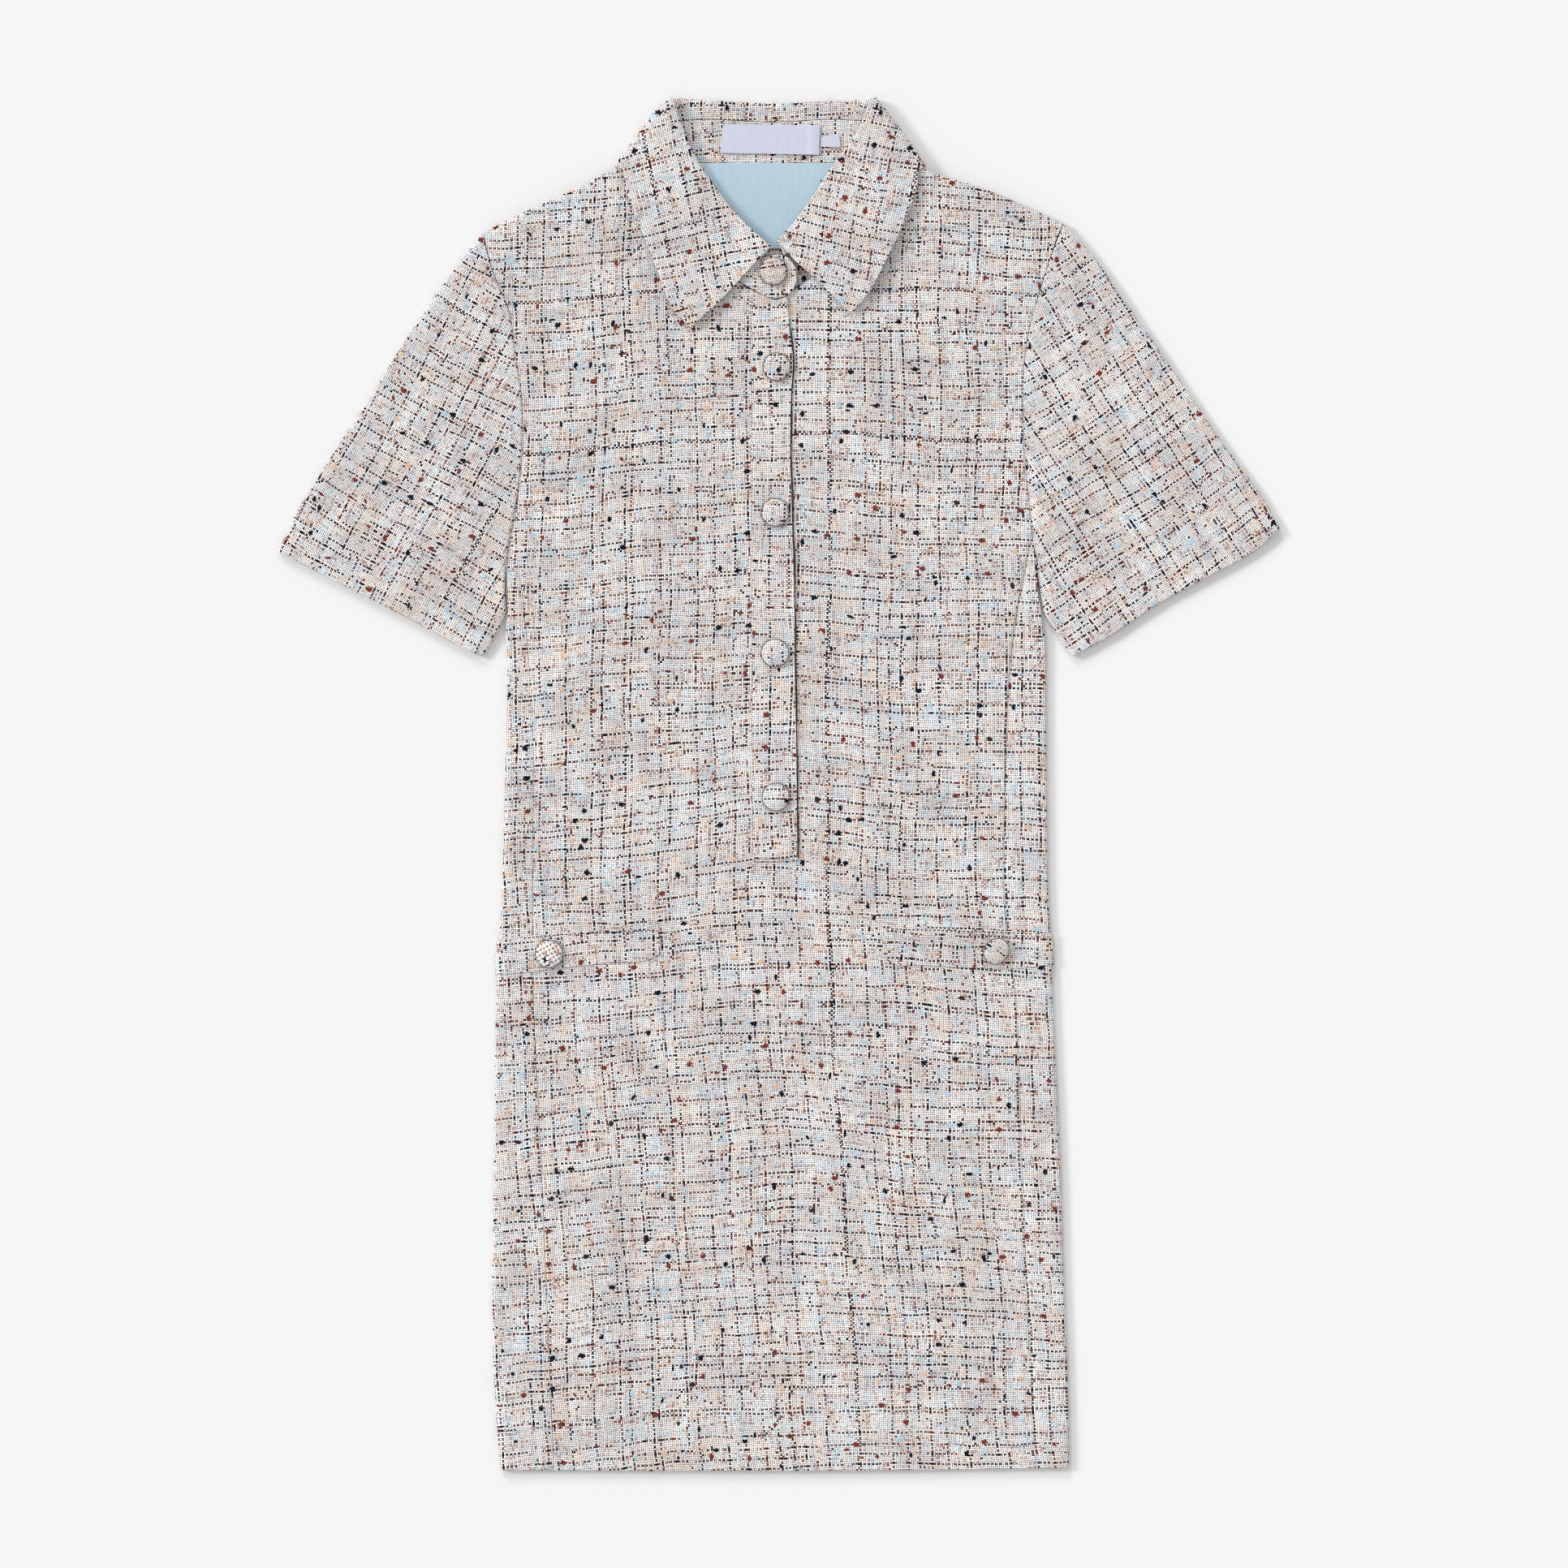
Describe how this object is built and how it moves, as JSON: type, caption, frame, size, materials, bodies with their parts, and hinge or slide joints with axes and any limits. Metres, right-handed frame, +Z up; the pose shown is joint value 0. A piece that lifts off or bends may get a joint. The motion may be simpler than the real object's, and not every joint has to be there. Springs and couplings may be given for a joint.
{
  "type": "shirt dress",
  "caption": "Short-sleeved tweed shirt dress with a pointed collar, half placket and false pocket bands, laid flat.",
  "frame": {"origin": "centre of the dress in plan, on the surface it lies on", "axes": "+X to the viewer's right across the dress, +Y along it towards the collar, +Z up from the surface"},
  "size_m": [0.741, 1.0145, 0.0145],
  "materials": {
    "tweed": "open plain-weave tweed of ivory, navy, rust, peach and pale blue yarns with slubs",
    "lining": "plain pale blue lining with a soft sheen",
    "label": "smooth woven tape, pale lavender, unprinted"
  },
  "bodies": {
    "root": {"front": "tweed", "back": "tweed", "side_panel_left": "tweed", "side_panel_right": "tweed", "sleeve_left": "tweed", "sleeve_right": "tweed", "collar": "tweed", "collar_stand": "tweed", "placket": "tweed", "pocket_band_left": "tweed", "pocket_band_right": "tweed", "button_stand": "tweed", "button_placket_1": "tweed", "button_placket_2": "tweed", "button_placket_3": "tweed", "button_placket_4": "tweed", "button_pocket_left": "tweed", "button_pocket_right": "tweed", "neck_lining": "lining", "neck_label": "label", "size_tag": "label"}
  },
  "joints": []
}
